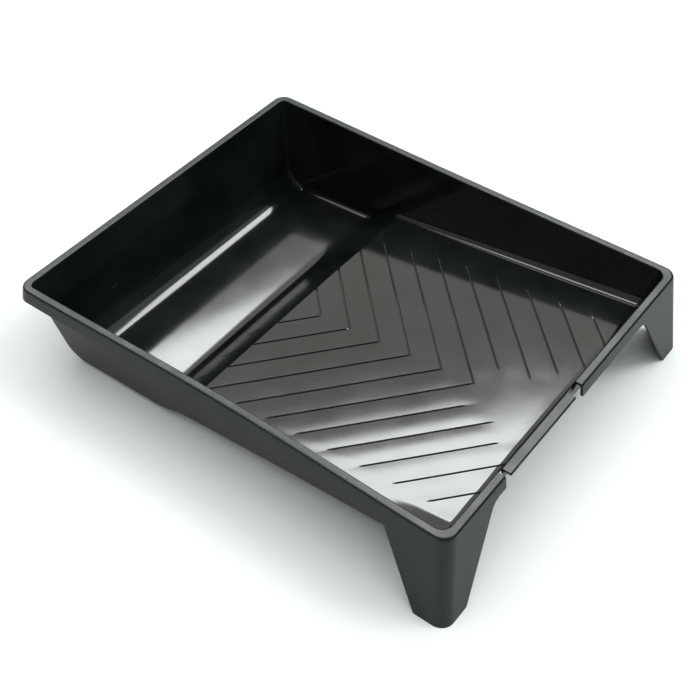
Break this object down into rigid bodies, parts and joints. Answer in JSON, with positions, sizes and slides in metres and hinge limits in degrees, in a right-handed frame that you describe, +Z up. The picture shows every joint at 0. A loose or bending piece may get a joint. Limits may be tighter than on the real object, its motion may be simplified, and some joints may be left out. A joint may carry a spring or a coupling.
{
  "type": "paint roller tray",
  "caption": "Open tray with a deep paint well, a sloping ramp with chevron grooves, an overhanging rim and two splayed corner legs.",
  "frame": {"origin": "on the surface the tray stands on, under the middle of its bounding box", "axes": "+X across the tray, +Y along it towards the deep end, +Z up"},
  "size_m": [0.3096, 0.3691, 0.0725],
  "materials": {
    "gloss_black": "high gloss, as from a polished mould",
    "satin_black": "satin"
  },
  "bodies": {
    "root": {"back_wall": "gloss_black", "well_floor": "gloss_black", "ramp_step": "gloss_black", "ramp": "gloss_black", "front_wall": "gloss_black", "left_wall": "gloss_black", "right_wall": "gloss_black", "rim_back": "satin_black", "rim_left": "satin_black", "rim_right": "satin_black", "rim_front_left": "satin_black", "rim_front_right": "satin_black", "front_lip": "satin_black", "left_leg": "satin_black", "right_leg": "satin_black"}
  },
  "joints": []
}
